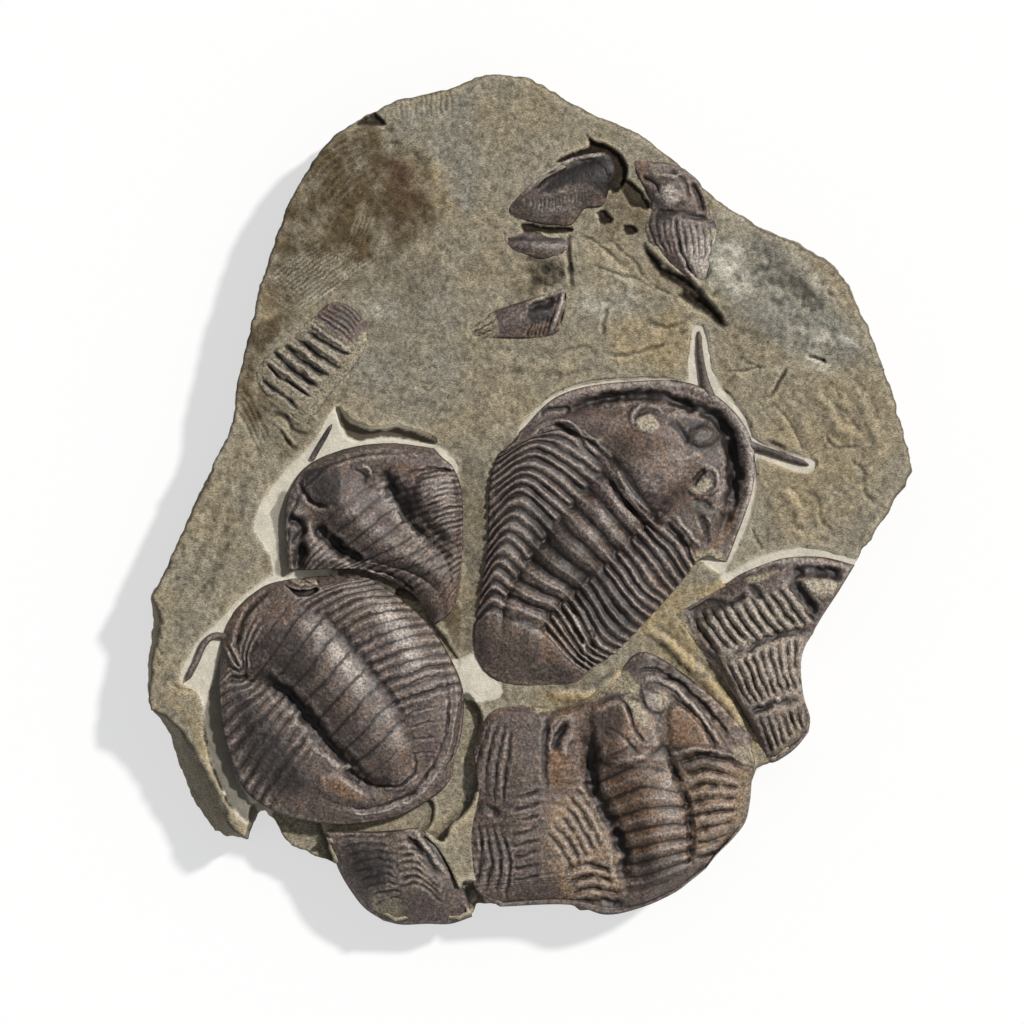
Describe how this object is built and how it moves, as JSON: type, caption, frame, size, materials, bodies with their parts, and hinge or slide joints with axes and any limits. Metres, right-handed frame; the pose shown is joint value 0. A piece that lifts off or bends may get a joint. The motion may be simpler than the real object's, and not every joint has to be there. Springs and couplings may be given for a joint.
{
  "type": "trilobite fossil slab",
  "caption": "Irregular flat slab of shale with a cluster of large trilobites and smaller fossil fragments standing out of its face in relief.",
  "frame": {"origin": "middle of the slab's box, on its flat underside", "axes": "+Z out of the fossil face, +Y along the slab's length towards its plain rounded end, +X across its width"},
  "size_m": [0.308, 0.3416, 0.0416],
  "materials": {
    "shale": "rough split and chiselled shale, matt, khaki grey with paler cleared channels",
    "fossil_shell": "dark purplish brown mineralised shell with a low sheen, mottled"
  },
  "bodies": {
    "root": {"matrix_slab": "shale", "trilobite_lower_left": "fossil_shell", "trilobite_upper_left": "fossil_shell", "trilobite_central": "fossil_shell", "trilobite_lower_right": "fossil_shell", "trilobite_right_edge": "fossil_shell", "top_head_fragment": "fossil_shell", "top_rim_fragment": "fossil_shell", "top_tail_fragment": "fossil_shell", "top_fan_fragment": "fossil_shell", "left_rib_fragment": "fossil_shell", "bottom_fragment": "fossil_shell"}
  },
  "joints": []
}
